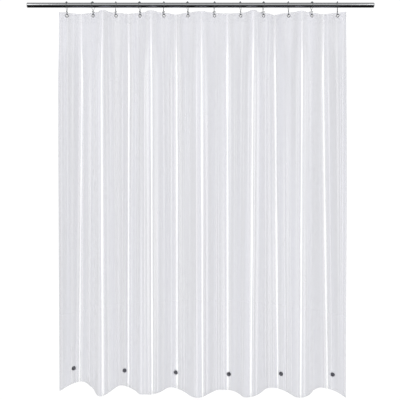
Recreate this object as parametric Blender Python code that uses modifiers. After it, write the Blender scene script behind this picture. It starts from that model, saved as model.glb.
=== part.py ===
"""Clear shower curtain liner hanging from roller hooks on a round rod.

Metres, +Z up. The rod runs along X with its axis through the origin, and the
user stands on the -Y side. The film hangs in waves: it crosses the plane of
the rod at every hook and folds alternately towards +Y (far) and -Y (near)
between two hooks.
"""
import math

import bmesh
import bpy
from mathutils import Matrix, Vector

# Rod
ROD_LENGTH = 1.670
ROD_DIAMETER = 0.024
ROD_WALL = 0.0012
PLUG_FLANGE = 0.002
PLUG_DEPTH = 0.014

# Hooks: one bent wire each, with a string of roller balls over the rod
HOOK_COUNT = 12
WIRE_DIAMETER = 0.0020
BALL_DIAMETER = 0.0060
BALL_COUNT = 5
BORE_CLEARANCE = 0.0007
ROLLER_GAP = 0.0001
LOOP_SLACK = 0.0012
CROSSING_DROP = 0.027
TIP_DROP = 0.032
U_DROP = 0.0482
U_RADIUS = 0.0053
TIP_DIAMETER = 0.0050
HOOK_YAW = math.radians(16)

# Grommets
GROMMET_DIAMETER = 0.0170
GROMMET_HOLE = 0.0088
GROMMET_METAL = 0.0005
GROMMET_REST = 0.0014
GROMMET_INSET = 0.0143

# Film
FILM_WIDTH = 1.829
FILM_HEIGHT = 1.829
FILM_THICKNESS = 0.0003
HEADER_HEIGHT = 0.050
HEADER_THICKNESS = 0.0003
SIDE_INSET = 0.051
HANGING_PITCH = 0.1185
LEAD_HOOK_X = -0.643
HEADING_AT_HOOKS = math.radians(22)
STRAIGHT_AT_HOOKS = 0.010
WAVE_SETTLES_BELOW = 0.36

# The hem's left end hangs further back, and the film straightens to the right.
HEM_SET_BACK = 0.060
SET_BACK_REACH = 0.75

# Depth of the film's left edge, its eleven folds and its right edge, each
# against the depth of an even wave that takes up the same film.
TOP_FOLD_DEPTHS = (0.04, 0.50, 1.10, 0.45, 0.95, 0.72, 0.76, 0.33, 1.06, 0.85, 0.75, 0.64, 0.73)
HEM_FOLD_DEPTHS = (1.50, 1.25, 1.62, 0.90, 0.63, 1.04, 1.22, 0.60, 0.98, 0.98, 0.98, 1.04, 1.50)

# How far the same places stray along the rod on the way down to the hem, and
# how far along the film the waves slip past them.
HEM_DRIFT_MM = (-8, -30, -1, -7, 3, 4, 5, 2, -11, 14, -9, 22, -6)
HEM_SLIP_MM = (0, 14, -14, -40, -41, -33, -24, -30, -17, -30, 0, -30, 0)

# The hooks are pushed along by hand, so each gap between two of them is a
# few millimetres off the even pitch.
PITCH_DRIFT_MM = (7, -8, -3, -3, -3, 10, 7, -8, 2, -6, 5)

# Magnets that hold the hem to the tub, each under a welded round patch
MAGNET_COUNT = 6
MAGNET_DIAMETER = 0.020
MAGNET_THICKNESS = 0.002
MAGNET_SIDE_INSET = 0.098
MAGNET_HEM_INSET = 0.078
PATCH_DIAMETER = 0.034
PATCH_THICKNESS = 0.0004
PATCH_GAP = 0.0005

GAP = 0.0003
ROD_SIDES = 32
GROMMET_SIDES = 12
DISC_SIDES = 20
WIRE_RESOLUTION = 1
BALL_RESOLUTION = 1
LOOP_STEPS = 9
U_STEPS = 6
BORE_STEPS = 8
BALL_STATIONS = (-1.0, -0.55, 0.55, 1.0)
BALL_NECK = 0.0005

# Fineness of the film's waves
CURVE_STATIONS = 8
FINE_STEPS = 6
FIT_ROUNDS = 40
STEEPEST_TERM = 2.2
CLEARANCE_SAMPLES = 100

# Worked out from the values above
ROD_RADIUS = ROD_DIAMETER / 2
WIRE_RADIUS = WIRE_DIAMETER / 2
BALL_RADIUS = BALL_DIAMETER / 2
LOOP_RADIUS = ROD_RADIUS + BALL_RADIUS + ROLLER_GAP + LOOP_SLACK
STRAND_SHIFT = WIRE_RADIUS + 0.0002
U_CENTRE = U_RADIUS + STRAND_SHIFT
HANG_TILT = math.atan2(U_CENTRE, U_DROP)
HANG_Z = -math.hypot(U_CENTRE, U_DROP)
GROMMET_Z = HANG_Z + WIRE_RADIUS + GROMMET_REST - GROMMET_HOLE / 2
FILM_TOP = GROMMET_Z + GROMMET_INSET
FILM_BOTTOM = FILM_TOP - FILM_HEIGHT
HOOK_PITCH_FLAT = (FILM_WIDTH - 2 * SIDE_INSET) / (HOOK_COUNT - 1)
HEADER_OFFSET = FILM_THICKNESS / 2 + GAP + HEADER_THICKNESS / 2
MAGNET_PITCH = (FILM_WIDTH - 2 * MAGNET_SIDE_INSET) / (MAGNET_COUNT - 1)


# ---------------------------------------------------------------- helpers

def clear_scene():
    for old in list(bpy.data.objects):
        bpy.data.objects.remove(old, do_unlink=True)


def new_collection(name):
    group = bpy.data.collections.new(name)
    bpy.context.scene.collection.children.link(group)
    return group


def make_material(name, colour, roughness, metallic, alpha=1.0):
    material = bpy.data.materials.new(name)
    material.use_nodes = True
    shader = material.node_tree.nodes["Principled BSDF"]
    shader.inputs["Base Color"].default_value = (*colour, 1.0)
    shader.inputs["Roughness"].default_value = roughness
    shader.inputs["Metallic"].default_value = metallic
    shader.inputs["Alpha"].default_value = alpha
    return material


def add_object(name, data, group, material, matrix=Matrix.Identity(4)):
    thing = bpy.data.objects.new(name, data)
    thing.matrix_world = matrix
    group.objects.link(thing)
    if material and not data.materials:
        data.materials.append(material)
    return thing


def tube_mesh(name, points, radii, resolution):
    """Mesh of a round tube through the points, with welded flat caps."""
    curve = bpy.data.curves.new(name, "CURVE")
    curve.dimensions = "3D"
    curve.bevel_depth = 1.0
    curve.bevel_resolution = resolution
    curve.use_fill_caps = True
    spline = curve.splines.new("POLY")
    spline.points.add(len(points) - 1)
    for node, point, radius in zip(spline.points, points, radii):
        node.co = (*point, 1.0)
        node.radius = radius
    holder = bpy.data.objects.new(name, curve)
    bpy.context.scene.collection.objects.link(holder)
    depsgraph = bpy.context.evaluated_depsgraph_get()
    mesh = bpy.data.meshes.new_from_object(holder.evaluated_get(depsgraph))
    bpy.data.objects.remove(holder)
    bpy.data.curves.remove(curve)
    work = bmesh.new()
    work.from_mesh(mesh)
    bmesh.ops.remove_doubles(work, verts=work.verts, dist=1e-6)
    bmesh.ops.recalc_face_normals(work, faces=work.faces)
    work.to_mesh(mesh)
    work.free()
    return mesh


def cut(thing, cutter):
    modifier = thing.modifiers.new(cutter.name, "BOOLEAN")
    modifier.operation = "DIFFERENCE"
    modifier.solver = "EXACT"
    modifier.object = cutter


def hide_cutter(cutter):
    cutter.hide_render = True
    cutter.display_type = "WIRE"


def cylinder_mesh(name, radius, depth, sides):
    work = bmesh.new()
    bmesh.ops.create_cone(
        work, cap_ends=True, segments=sides, radius1=radius, radius2=radius, depth=depth
    )
    mesh = bpy.data.meshes.new(name)
    work.to_mesh(mesh)
    work.free()
    return mesh


def turned_mesh(name, profile, sides):
    """Ring turned about local Z from a closed profile of (radius, z) points."""
    work = bmesh.new()
    corners = [work.verts.new((radius, 0.0, height)) for radius, height in profile]
    edges = [work.edges.new((a, b)) for a, b in zip(corners, corners[1:] + corners[:1])]
    bmesh.ops.spin(
        work,
        geom=corners + edges,
        axis=(0, 0, 1),
        cent=(0, 0, 0),
        angle=2 * math.pi,
        steps=sides,
        use_merge=True,
    )
    bmesh.ops.remove_doubles(work, verts=work.verts, dist=1e-6)
    bmesh.ops.recalc_face_normals(work, faces=work.faces)
    mesh = bpy.data.meshes.new(name)
    work.to_mesh(mesh)
    work.free()
    return mesh


# ------------------------------------------------------------ film waves

def wave_heading(first, third, share):
    """Angle of the film to the rod, a share of the way from one hook to the next."""
    return first * math.cos(math.pi * share) + third * math.cos(3 * math.pi * share)


def trace_panel(first, third, stations):
    """Points of one panel after its hook, as (flat distance, run along X, depth along Y)."""
    curved = HOOK_PITCH_FLAT - 2 * STRAIGHT_AT_HOOKS
    heading = first + third
    flat = STRAIGHT_AT_HOOKS
    run = flat * math.cos(heading)
    depth = flat * math.sin(heading)
    points = [(flat, run, depth)]
    fine = curved / CURVE_STATIONS / FINE_STEPS
    for station in range(stations):
        for step in range(FINE_STEPS):
            share = (station + (step + 0.5) / FINE_STEPS) / CURVE_STATIONS
            heading = wave_heading(first, third, share)
            run += fine * math.cos(heading)
            depth += fine * math.sin(heading)
        flat += fine * FINE_STEPS
        points.append((flat, run, depth))
    return points


def fit_wave(pitch, at_hook):
    """Heading terms that let one panel's flat length span the pitch.

    With at_hook the film passes its hooks at that heading. Without it the
    wave is a plain one, steepest below the hooks.
    """
    low, high = 0.0, STEEPEST_TERM
    for _ in range(FIT_ROUNDS):
        first = (low + high) / 2
        third = 0.0 if at_hook is None else at_hook - first
        span = trace_panel(first, third, CURVE_STATIONS)[-1][1]
        span += STRAIGHT_AT_HOOKS * math.cos(first + third)
        if span > pitch:
            low = first
        else:
            high = first
    return first, third


def hang_positions():
    """X of the twelve places where the film hangs from a hook."""
    places = [LEAD_HOOK_X]
    for drift in PITCH_DRIFT_MM:
        places.append(places[-1] + HANGING_PITCH + drift / 1000)
    return places


def hook_side(index):
    """+1 where the film goes from near to far at the hook, -1 where it comes back."""
    return 1 if index % 2 == 0 else -1


def film_line(at_hook, fold_depths):
    """The film seen from above, from its left edge to its right, as (flat, x, y)."""
    places = hang_positions()
    edge_flat = SIDE_INSET - STRAIGHT_AT_HOOKS
    panel_flat = HOOK_PITCH_FLAT - 2 * STRAIGHT_AT_HOOKS
    edge_stations = round(edge_flat / panel_flat * CURVE_STATIONS)
    line = []
    terms = fit_wave(places[1] - places[0], at_hook)
    for flat, run, depth in reversed(trace_panel(*terms, edge_stations)):
        line.append((SIDE_INSET - flat, places[0] - run, -depth))
    for index, (start, end) in enumerate(zip(places, places[1:])):
        side = hook_side(index)
        terms = fit_wave(end - start, at_hook)
        before = SIDE_INSET + index * HOOK_PITCH_FLAT
        line.append((before, start, 0.0))
        for flat, run, depth in trace_panel(*terms, CURVE_STATIONS):
            line.append((before + flat, start + run, side * depth))
    before = SIDE_INSET + (HOOK_COUNT - 1) * HOOK_PITCH_FLAT
    line.append((before, places[-1], 0.0))
    for flat, run, depth in trace_panel(*terms, edge_stations):
        line.append((before + flat, places[-1] + run, hook_side(HOOK_COUNT - 1) * depth))
    line[0] = edge_point(line[1], line[0], 0.0)
    line[-1] = edge_point(line[-2], line[-1], FILM_WIDTH)
    return deepen(line, fold_depths)


def deepen(line, fold_depths):
    """The line with its folds scaled in depth, and as it was where it passes the hooks."""
    moved = []
    for flat, x, y in line:
        along = (flat - SIDE_INSET) / HOOK_PITCH_FLAT
        depth = fold_depths[math.floor(along) + 1]
        moved.append((flat, x, y * (1 + (depth - 1) * math.sin(math.pi * along) ** 2)))
    return moved


def strayed(line, height):
    """The line as it is at a height: strayed along the rod, and back at the left end."""
    drop = (FILM_TOP - HEADER_HEIGHT - height) / (FILM_HEIGHT - HEADER_HEIGHT)
    moved = []
    for flat, x, _ in line:
        share = min(flat / SET_BACK_REACH, 1.0)
        push = HEM_SET_BACK * (1 + math.cos(math.pi * share)) / 2
        wave, _ = point_on(line, flat - at_folds(flat, HEM_SLIP_MM) * drop)
        moved.append((flat, x + at_folds(flat, HEM_DRIFT_MM) * drop, wave.y + push * drop))
    return moved


def at_folds(flat, values_mm):
    """Value at a flat distance, in metres, from those at the edges and folds."""
    folds = [SIDE_INSET + (k + 0.5) * HOOK_PITCH_FLAT for k in range(HOOK_COUNT - 1)]
    folds = [0.0, *folds, FILM_WIDTH]
    for a, b, start, end in zip(folds, folds[1:], values_mm, values_mm[1:]):
        if flat <= b:
            break
    return (start + (end - start) * (flat - a) / (b - a)) / 1000


def edge_point(inner, outer, flat):
    """Slides the last point of the line along its stretch to the film's cut edge."""
    share = (flat - inner[0]) / (outer[0] - inner[0])
    return tuple(a + (b - a) * share for a, b in zip(inner, outer))


def point_on(line, flat):
    """Place and heading of the film at a flat distance from its left edge."""
    for a, b in zip(line, line[1:]):
        if flat <= b[0]:
            break
    share = (flat - a[0]) / (b[0] - a[0])
    place = Vector((a[1] + (b[1] - a[1]) * share, a[2] + (b[2] - a[2]) * share, 0.0))
    return place, math.atan2(b[2] - a[2], b[1] - a[1])


def offset_line(line, distance):
    """The line moved towards the far side, square to the film."""
    moved = []
    for i, (flat, x, y) in enumerate(line):
        a = line[max(i - 1, 0)]
        b = line[min(i + 1, len(line) - 1)]
        heading = math.atan2(b[2] - a[2], b[1] - a[1])
        moved.append((flat, x - distance * math.sin(heading), y + distance * math.cos(heading)))
    return moved


def near_clearance(line, height, flat, radius):
    """How far towards the user the film reaches from its tangent, behind a round piece.

    The line is the plain hem wave. The film leans back on its way down, so it
    is nearest to the user at the piece's upper rim.
    """
    centre, heading = point_on(strayed(line, height), flat)
    along = Vector((math.cos(heading), math.sin(heading), 0.0))
    towards = Vector((math.sin(heading), -math.cos(heading), 0.0))
    upper = strayed(line, height + radius)
    reach = 0.0
    for i in range(-CLEARANCE_SAMPLES, CLEARANCE_SAMPLES + 1):
        place, _ = point_on(upper, flat + 2 * radius * i / CLEARANCE_SAMPLES)
        if abs((place - centre).dot(along)) <= radius:
            reach = max(reach, (place - centre).dot(towards))
    return reach


# ----------------------------------------------------------------- pieces

def sheet_mesh(name, levels):
    """Open surface through lines at falling heights, as a loft of (height, line)."""
    columns = len(levels[0][1]) - 1
    rows = len(levels) - 1
    work = bmesh.new()
    bmesh.ops.create_grid(work, x_segments=columns, y_segments=rows, size=1.0)
    for vertex in work.verts:
        column = round((vertex.co.x + 1) / 2 * columns)
        row = round((1 - vertex.co.y) / 2 * rows)
        height, line = levels[row]
        vertex.co = (line[column][1], line[column][2], height)
    mesh = bpy.data.meshes.new(name)
    work.to_mesh(mesh)
    work.free()
    return mesh


def thicken(thing, thickness):
    modifier = thing.modifiers.new("wall", "SOLIDIFY")
    modifier.thickness = thickness
    modifier.offset = 0.0


def hang_matrix(line, index):
    """Frame of a grommet: local Z points through the film, towards the far side."""
    place, heading = point_on(line, SIDE_INSET + index * HOOK_PITCH_FLAT)
    place.z = GROMMET_Z
    turn = Matrix.Rotation(heading, 4, "Z") @ Matrix.Rotation(-math.pi / 2, 4, "X")
    return Matrix.Translation(place) @ turn


def make_film(parts, cutters, top_line, hem_line):
    """The clear film and, welded behind its top edge, the stiffer header band."""
    clear = make_material("clear_film", (0.86, 0.87, 0.90), 0.2, 0.0, 0.5)
    settle = FILM_TOP - WAVE_SETTLES_BELOW
    under_header = FILM_TOP - HEADER_HEIGHT
    levels = [
        (FILM_TOP, top_line),
        (under_header, top_line),
        (settle, strayed(hem_line, settle)),
        (FILM_BOTTOM, strayed(hem_line, FILM_BOTTOM)),
    ]
    film = add_object("film_sheet", sheet_mesh("film_sheet", levels), parts, clear)
    thicken(film, FILM_THICKNESS)
    band_line = offset_line(top_line, HEADER_OFFSET)
    levels = [(FILM_TOP, band_line), (under_header, band_line)]
    header = add_object("header_band", sheet_mesh("header_band", levels), parts, clear)
    thicken(header, HEADER_THICKNESS)
    barrel = GROMMET_HOLE / 2 + GROMMET_METAL + GAP
    radius = barrel / math.cos(math.pi / GROMMET_SIDES)
    punch = cylinder_mesh("grommet_punch", radius, GROMMET_DIAMETER, GROMMET_SIDES)
    half_side = Matrix.Rotation(math.pi / GROMMET_SIDES, 4, "Z")
    for index in range(HOOK_COUNT):
        matrix = hang_matrix(top_line, index) @ half_side
        cutter = add_object(f"punch_{index + 1:02d}", punch, cutters, None, matrix)
        hide_cutter(cutter)
        cut(film, cutter)
        cut(header, cutter)


def make_grommets(parts, top_line):
    steel = make_material("grommet_steel", (0.62, 0.63, 0.65), 0.25, 1.0)
    hole = GROMMET_HOLE / 2
    rim = GROMMET_DIAMETER / 2
    barrel = hole + GROMMET_METAL
    near = -(FILM_THICKNESS / 2 + GAP)
    far = HEADER_OFFSET + HEADER_THICKNESS / 2 + GAP
    profile = [
        (hole, near - GROMMET_METAL),
        (rim, near - GROMMET_METAL),
        (rim, near),
        (barrel, near),
        (barrel, far),
        (rim, far),
        (rim, far + GROMMET_METAL),
        (hole, far + GROMMET_METAL),
    ]
    mesh = turned_mesh("grommet", profile, GROMMET_SIDES)
    for index in range(HOOK_COUNT):
        name = f"grommet_{index + 1:02d}"
        add_object(name, mesh, parts, steel, hang_matrix(top_line, index))


def loop_point(angle, top):
    """Point of the hook's loop, an angle from its top towards the far side."""
    shift = STRAND_SHIFT * angle / top
    return Vector((
        shift,
        LOOP_RADIUS * math.sin(angle),
        LOOP_RADIUS * math.cos(angle) - LOOP_SLACK,
    ))


def loop_end_angle():
    """Angle from the top at which the strands leave the loop for the crossing."""
    return math.pi / 2 + math.asin(LOOP_RADIUS / (CROSSING_DROP - LOOP_SLACK))


def half_hook(end):
    """Far half of the wire: loop from its top, crossing, strand, U and ball tip."""
    points = []
    for i in range(LOOP_STEPS + 1):
        points.append(loop_point(end * i / LOOP_STEPS, end))
    inner = U_CENTRE - U_RADIUS
    points.append(Vector((STRAND_SHIFT, 0.0, -CROSSING_DROP)))
    points.append(Vector((STRAND_SHIFT, -inner, -TIP_DROP)))
    bend = U_DROP - U_RADIUS
    for i in range(U_STEPS + 1):
        turn = math.pi * i / U_STEPS
        y = -U_CENTRE + U_RADIUS * math.cos(turn)
        points.append(Vector((STRAND_SHIFT, y, -bend - U_RADIUS * math.sin(turn))))
    for rise in (-1.0, -0.5, 0.5, 1.0):
        y = -U_CENTRE - U_RADIUS
        points.append(Vector((STRAND_SHIFT, y, -TIP_DROP + rise * TIP_DIAMETER / 2)))
    return points


def make_hooks(parts, cutters):
    """Wires and roller strings; every hook is the same, turned its own way."""
    chrome = make_material("chrome_wire", (0.75, 0.76, 0.78), 0.12, 1.0)
    end = loop_end_angle()
    half = half_hook(end)
    other = [Vector((-p.x, -p.y, p.z)) for p in half[1:]]
    points = list(reversed(other)) + half
    tip = [1.0, TIP_DIAMETER / WIRE_DIAMETER, TIP_DIAMETER / WIRE_DIAMETER, 1.0]
    plain = [1.0] * (len(points) - 2 * len(tip))
    radii = [WIRE_RADIUS * r for r in tip + plain + tip]
    wire = tube_mesh("hook_wire", points, radii, WIRE_RESOLUTION)
    rollers = roller_mesh(cutters, end)
    tilt = Matrix.Rotation(HANG_TILT, 4, "X")
    for index, place in enumerate(hang_positions()):
        yaw = HOOK_YAW * hook_side(index) if index else 0.0
        x = place - STRAND_SHIFT * math.cos(yaw)
        matrix = Matrix.Translation((x, 0, 0)) @ Matrix.Rotation(yaw, 4, "Z") @ tilt
        name = f"hook_{index + 1:02d}"
        add_object(f"{name}_wire", wire, parts, chrome, matrix)
        add_object(f"{name}_rollers", rollers, parts, chrome, matrix)


def roller_mesh(cutters, end):
    """String of balls on the loop's top, drilled along the wire."""
    ball_angle = BALL_DIAMETER / LOOP_RADIUS
    reach = ball_angle * BALL_COUNT / 2
    neck = WIRE_RADIUS + BORE_CLEARANCE + BALL_NECK
    points, radii = [], []
    for ball in range(BALL_COUNT):
        for share in BALL_STATIONS[:-1] if ball < BALL_COUNT - 1 else BALL_STATIONS:
            angle = -reach + ball_angle * (ball + (share + 1) / 2)
            points.append(loop_point(angle, end))
            radii.append(max(neck, BALL_RADIUS * math.sqrt(1 - share * share)))
    body = tube_mesh("rollers_solid", points, radii, BALL_RESOLUTION)
    reach += ball_angle / 2
    points = [loop_point(-reach + 2 * reach * i / BORE_STEPS, end) for i in range(BORE_STEPS + 1)]
    radii = [WIRE_RADIUS + BORE_CLEARANCE] * len(points)
    bore = add_object("roller_bore", tube_mesh("bore", points, radii, WIRE_RESOLUTION), cutters, None)
    hide_cutter(bore)
    solid = add_object("roller_blank", body, cutters, None)
    cut(solid, bore)
    depsgraph = bpy.context.evaluated_depsgraph_get()
    mesh = bpy.data.meshes.new_from_object(solid.evaluated_get(depsgraph))
    mesh.name = "rollers"
    bpy.data.objects.remove(solid)
    return mesh


def make_rod(parts):
    """Round tube with a flanged plug in each end."""
    chrome = make_material("chrome_rod", (0.70, 0.71, 0.72), 0.08, 1.0)
    plastic = make_material("plug_plastic", (0.55, 0.55, 0.56), 0.4, 0.0)
    half = ROD_LENGTH / 2 - PLUG_FLANGE - GAP
    bore = ROD_RADIUS - ROD_WALL
    profile = [(bore, -half), (ROD_RADIUS, -half), (ROD_RADIUS, half), (bore, half)]
    along = Matrix.Rotation(math.pi / 2, 4, "Y")
    add_object("rod_tube", turned_mesh("rod_tube", profile, ROD_SIDES), parts, chrome, along)
    stem = bore - GAP
    tip = half - PLUG_DEPTH
    outer = ROD_LENGTH / 2
    for name, side in (("rod_plug_left", -1), ("rod_plug_right", 1)):
        profile = [
            (0.0, tip), (stem, tip), (stem, outer - PLUG_FLANGE),
            (ROD_RADIUS, outer - PLUG_FLANGE), (ROD_RADIUS, outer), (0.0, outer),
        ]
        turn = Matrix.Rotation(side * math.pi / 2, 4, "Y")
        add_object(name, plug_mesh(name, profile), parts, plastic, turn)


def plug_mesh(name, profile):
    """Solid turned from an open profile that starts and ends on the axis."""
    work = bmesh.new()
    corners = [work.verts.new((radius, 0.0, height)) for radius, height in profile]
    edges = [work.edges.new((a, b)) for a, b in zip(corners, corners[1:])]
    bmesh.ops.spin(
        work,
        geom=corners + edges,
        axis=(0, 0, 1),
        cent=(0, 0, 0),
        angle=2 * math.pi,
        steps=ROD_SIDES,
        use_merge=True,
    )
    bmesh.ops.remove_doubles(work, verts=work.verts, dist=1e-6)
    bmesh.ops.recalc_face_normals(work, faces=work.faces)
    mesh = bpy.data.meshes.new(name)
    work.to_mesh(mesh)
    work.free()
    return mesh


def make_magnets(parts, hem_line):
    """Round magnets in front of the film, each held by a round patch in front of it."""
    magnet_z = FILM_BOTTOM + MAGNET_HEM_INSET
    ferrite = make_material("magnet_ferrite", (0.05, 0.05, 0.055), 0.5, 0.0)
    clear = make_material("patch_film", (0.86, 0.87, 0.90), 0.2, 0.0, 0.5)
    disc = cylinder_mesh("magnet", MAGNET_DIAMETER / 2, MAGNET_THICKNESS, DISC_SIDES)
    patch = cylinder_mesh("magnet_patch", PATCH_DIAMETER / 2, PATCH_THICKNESS, DISC_SIDES)
    face = FILM_THICKNESS / 2 + GAP
    for index in range(MAGNET_COUNT):
        flat = MAGNET_SIDE_INSET + index * MAGNET_PITCH
        place, heading = point_on(strayed(hem_line, magnet_z), flat)
        place.z = magnet_z
        turn = Matrix.Rotation(heading, 4, "Z") @ Matrix.Rotation(math.pi / 2, 4, "X")
        seat = near_clearance(hem_line, magnet_z, flat, MAGNET_DIAMETER / 2) + face
        behind = near_clearance(hem_line, magnet_z, flat, PATCH_DIAMETER / 2)
        behind += FILM_THICKNESS / 2 + PATCH_GAP
        cover = max(seat + MAGNET_THICKNESS + GAP, behind)
        for name, mesh, material, depth in (
            ("magnet", disc, ferrite, seat + MAGNET_THICKNESS / 2),
            ("magnet_patch", patch, clear, cover + PATCH_THICKNESS / 2),
        ):
            matrix = Matrix.Translation(place) @ turn @ Matrix.Translation((0, 0, depth))
            add_object(f"{name}_{index + 1}", mesh, parts, material, matrix)


def main():
    clear_scene()
    parts = new_collection("shower_curtain")
    cutters = new_collection("cutters")
    top_line = film_line(HEADING_AT_HOOKS, TOP_FOLD_DEPTHS)
    hem_line = film_line(None, HEM_FOLD_DEPTHS)
    make_rod(parts)
    make_hooks(parts, cutters)
    make_grommets(parts, top_line)
    make_film(parts, cutters, top_line, hem_line)
    make_magnets(parts, hem_line)


main()
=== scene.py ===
"""Looks of the clear shower curtain liner on its rod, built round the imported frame.

Every piece stands where the frame's own nodes stand, in metres. The rod runs
along X, the user stands on the -Y side, and the film hangs in waves below.
"""
import math

import bmesh
import bpy
import numpy as np
from bpy.props import FloatProperty, FloatVectorProperty, IntProperty, PointerProperty
from mathutils import Matrix, Vector


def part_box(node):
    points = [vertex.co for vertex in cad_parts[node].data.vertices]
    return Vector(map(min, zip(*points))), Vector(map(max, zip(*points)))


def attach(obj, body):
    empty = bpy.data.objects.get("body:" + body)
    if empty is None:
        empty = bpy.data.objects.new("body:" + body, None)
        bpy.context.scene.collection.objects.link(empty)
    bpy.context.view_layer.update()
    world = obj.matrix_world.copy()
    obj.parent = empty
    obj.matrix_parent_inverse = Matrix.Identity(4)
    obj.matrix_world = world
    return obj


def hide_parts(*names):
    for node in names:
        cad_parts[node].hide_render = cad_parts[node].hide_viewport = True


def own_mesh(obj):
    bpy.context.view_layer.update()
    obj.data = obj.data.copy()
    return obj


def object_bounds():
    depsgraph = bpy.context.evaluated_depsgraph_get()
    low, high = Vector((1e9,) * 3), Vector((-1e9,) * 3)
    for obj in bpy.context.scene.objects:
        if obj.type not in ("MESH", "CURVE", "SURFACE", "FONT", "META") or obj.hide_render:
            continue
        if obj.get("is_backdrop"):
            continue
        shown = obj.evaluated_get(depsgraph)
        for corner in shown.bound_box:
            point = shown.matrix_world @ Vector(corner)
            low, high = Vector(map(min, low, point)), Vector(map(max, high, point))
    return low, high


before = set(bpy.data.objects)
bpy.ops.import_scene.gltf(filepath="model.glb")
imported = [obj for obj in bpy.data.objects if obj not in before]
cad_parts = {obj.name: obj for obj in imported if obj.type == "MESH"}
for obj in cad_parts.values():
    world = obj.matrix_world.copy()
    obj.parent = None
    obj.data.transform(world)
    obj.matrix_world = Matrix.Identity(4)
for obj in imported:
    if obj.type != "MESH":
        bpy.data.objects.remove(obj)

bl_info = {
    "name": "Shower Curtain Looks",
    "version": (1, 0, 0),
    "blender": (4, 5, 0),
    "location": "View3D > Sidebar > Curtain",
    "description": "Builds a clear liner, its hooks, grommets, magnets and rod round a frame",
    "category": "Object",
}

HOOKS = 12
MAGNETS = 6

# Fit of a wave to its flat length
LINE_POINTS = 400
FIT_ROUNDS = 50
STEEPEST_TERM = 2.2
SLOPE_STEP = 0.0005

# Rod and plugs, in metres
ROD_WALL = 0.0012
ROD_EDGE = 0.0003
PLUG_FLANGE = 0.002
PLUG_DEPTH = 0.014
PLUG_EDGE = 0.0006
PLUG_FIT = 0.0003

# Hooks: gap between strands, fineness of the bent wire, and the drilled balls
STRAND_GAP = 0.0002
WIRE_STEP = 0.0009
WIRE_SOFTENING = 6
WIRE_SIDES = 14
LOOP_STEPS = 40
BEND_STEPS = 16
TIP_STEPS = 8
TIP_END = math.pi * 2 / 3
BALL_FIT = 0.985
BALL_BORE = 0.0007
BALL_CHAMFER = 0.0002
BALL_STEPS = 12

# Grommets: radii, faces along the axis, and bulge of the two flanges
GROMMET_HOLE = 0.0044
GROMMET_RIM = 0.0085
GROMMET_NEAR = -0.0004
GROMMET_FAR = 0.0011
GROMMET_DOME = 0.0009
GROMMET_CRIMP = 0.0006
GROMMET_BARREL = 0.0006

# Where the film lies flat round a grommet and a magnet: fully, and to where it is free
GROMMET_HOLD = (0.0098, 0.030)
MAGNET_HOLD = (0.0135, 0.055)
HOLE_RADIUS = 0.0049

# Magnets and the patches over them
MAGNET_FACING = 0.5
MAGNET_SEAT = 0.0014
MAGNET_HALF = 0.001
MAGNET_EDGE = 0.0004
PATCH_LIFT = 0.0003
PATCH_RISE = 0.0027
PATCH_SLOPE = (0.0003, 0.0028)
PATCH_WALL = 0.0002
PATCH_RINGS = 16

# Fineness of the film's mesh
FINE_HALF = 0.010
FINE_STEP = 0.002
COARSE_STEP = 0.0036
FINE_HEADER = 0.030
ROW_BANDS = ((0.030, 0.09, 0.004), (0.09, 0.36, 0.018))
ROW_STEP = 0.034

# Wrinkles: lattice cell across and down in metres, and how far each kind reaches
NOISE_CELLS = 256
BROAD_RIPPLE = (0.038, 0.85)
NARROW_RIPPLE = (0.014, 0.50)
NARROW_SHARE = 0.35
RIPPLE_AT_TOP = 0.35
CREASE_GROWS = 0.12
CRINKLE_FADES = 0.035
EDGE_WAVE = 0.0007
EDGE_WAVE_CELL = 0.021
EDGE_WAVE_FADES = 0.01

# Film finish: pattern cycles across and down the flat cut, and the marks' strength. The crease
# lines are whitened film in part and painted highlight in part
CREASE_CYCLES = (14.0, 4.0, 1.0)
CREASE_HALF_WIDTH = (0.0028, 0.0050)
BACK_FOLD_EXTRA = 0.35
# The streaks are painted sheen: light streaks that stand in for gloss off the waves
STREAK_CYCLES = (180.0, 0.45, 1.0)
STREAK_PATCH_CYCLES = (17.0, 0.7, 1.0)
STREAK_SHEEN = 0.50
# SHADE gives painted shade and light: the film's tint darker and lighter in soft upright bands
SHADE_CYCLES = (46.0, 0.9, 1.0)
SHADE = (0.84, 1.14)
HAZE_CYCLES = (90.0, 30.0, 1.0)
GRAIN_CYCLES = (700.0, 260.0, 1.0)
MARK_COVER = 0.92
# Strength of the painted glow on the crease lines and streaks
PAINTED_GLOW = 0.10
HEADER_LIFT = 0.0006
HEADER_COVER = 0.05

# Stage: mirrored bands are elevations in degrees and their brightness
CAMERA_X = -0.0024
FLOOR_RADIUS = 9.0
FLOOR_FADE = (0.6, 2.6)
WHITE = 1.05
GLOW = 1.05
MIRRORED = ((-60, 0.012), (-14, 0.05), (6, 0.75), (38, 0.85), (62, 0.26), (90, 0.13))
LIGHTS = (
    ("key_left", (-2.6, -3.0, 0.6), (0.0, 0.0, -0.9), (1.6, 2.4), 20.0),
    ("key_right", (2.6, -3.0, 0.4), (0.0, 0.0, -0.9), (1.6, 2.4), 16.0),
)


def node_centre(name):
    low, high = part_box(name)
    return (low + high) / 2


HANG_X = [node_centre(f"grommet_{k + 1:02d}").x for k in range(HOOKS)]
FILM_LOW, FILM_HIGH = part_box("film_sheet")
ROD_LOW, ROD_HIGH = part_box("rod_tube")
ROD_RADIUS = (ROD_HIGH.z - ROD_LOW.z) / 2


# ------------------------------------------------------------------ sizes

def length(name, description, default, precision=2):
    """Property that holds a length in metres."""
    return FloatProperty(
        name=name, description=description, default=default, unit="LENGTH", precision=precision
    )


def colour(name, description, default):
    """Property that holds a linear colour."""
    return FloatVectorProperty(
        name=name, description=description, default=default,
        subtype="COLOR", size=3, min=0, max=1,
    )


def fold_values(name, description, default, unit="NONE"):
    """Property that holds a value for the left edge, each fold and the right edge."""
    return FloatVectorProperty(
        name=name, description=description, default=default, size=HOOKS + 1, unit=unit
    )


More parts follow.
